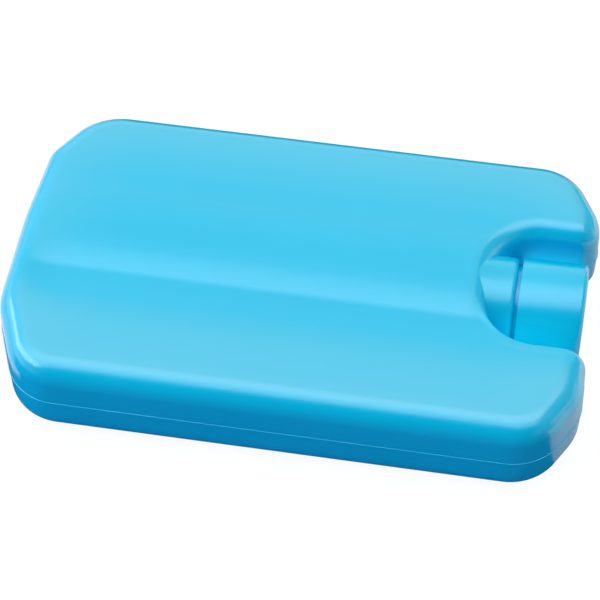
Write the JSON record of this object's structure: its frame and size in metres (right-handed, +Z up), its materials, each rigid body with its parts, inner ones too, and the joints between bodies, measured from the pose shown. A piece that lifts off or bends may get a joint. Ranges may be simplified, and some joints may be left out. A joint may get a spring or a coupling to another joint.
{
  "type": "reusable ice pack",
  "caption": "Flat rounded freezer pack of blow-moulded plastic filled with gel, with a notch in one end that shelters its capped filling neck.",
  "frame": {"origin": "centre of the lower face of the bounding box, in the plane the pack lies on", "axes": "+X along the length towards the notched end, +Y across the width towards the side that the notch is offset to, +Z up through the thickness"},
  "size_m": [0.1508, 0.0908, 0.025],
  "materials": {
    "body_plastic": "satin moulded polyethylene, light blue",
    "cap_plastic": "satin moulded polyethylene, light blue"
  },
  "bodies": {
    "root": {"pack_body": "body_plastic", "filler_cap": "cap_plastic"}
  },
  "joints": []
}
